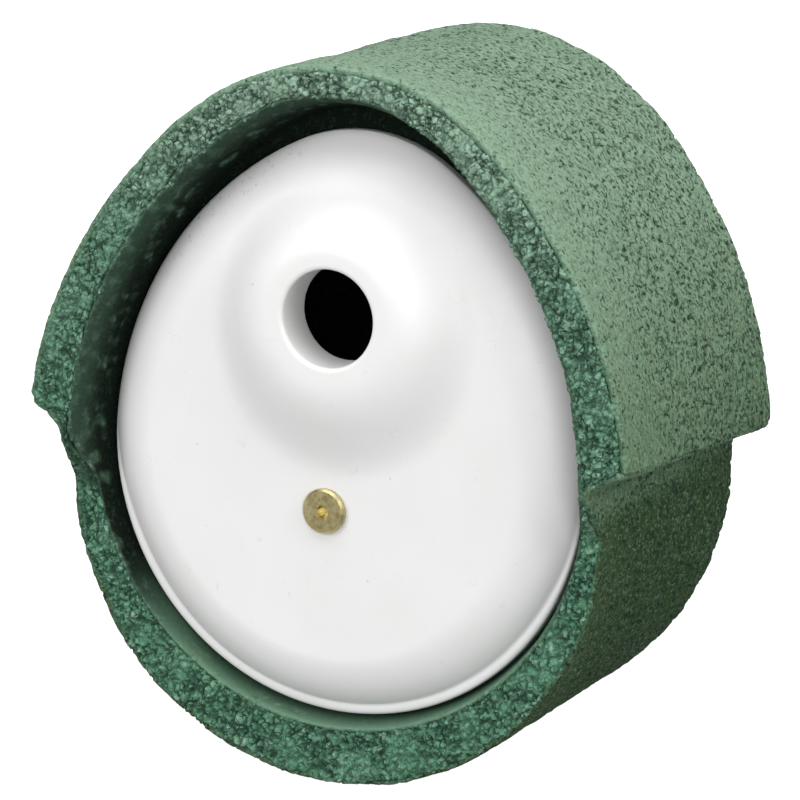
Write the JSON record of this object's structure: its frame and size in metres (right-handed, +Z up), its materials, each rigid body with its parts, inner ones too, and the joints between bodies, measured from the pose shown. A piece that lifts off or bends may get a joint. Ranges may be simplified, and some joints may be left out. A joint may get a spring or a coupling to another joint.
{
  "type": "nest box",
  "caption": "Wall-hung nest box: cast shell with an arched roof and a white egg-shaped front panel with a domed round entrance, held by a quarter-turn latch.",
  "frame": {"origin": "axis of the hanger plate's keyhole entry, in the flat back face that lies against the wall or tree", "axes": "+Y out of the back towards the wall, so the entrance faces -Y; +Z up; +X to the right seen from the front"},
  "size_m": [0.215, 0.129, 0.24],
  "materials": {
    "wood_concrete": "matte",
    "white_panel": "satin",
    "yellow_zinc": "satin",
    "steel": "satin",
    "grey_plastic": "matte"
  },
  "bodies": {
    "shell": {"front_rim": "wood_concrete", "seat_lip": "wood_concrete", "nest_wall": "wood_concrete", "back_wall": "wood_concrete", "hanger_plate": "steel", "hanger_screws": "steel", "wall_plugs": "grey_plastic"},
    "panel": {"front_panel": "white_panel"},
    "latch": {"lock_bolt": "yellow_zinc", "flat_washer": "steel", "spring_washer": "steel", "latch_bar": "steel", "lock_nut": "steel"}
  },
  "joints": [
    {"name": "panel_pull", "type": "slide", "parent": "shell", "child": "panel", "axis": [0, -1, 0], "range_m": [0, 0.07]},
    {"name": "latch_turn", "type": "hinge", "parent": "panel", "child": "latch", "pos_m": [0, -0.1, -0.095], "axis": [0, 1, 0], "range_deg": [0, 90]}
  ]
}
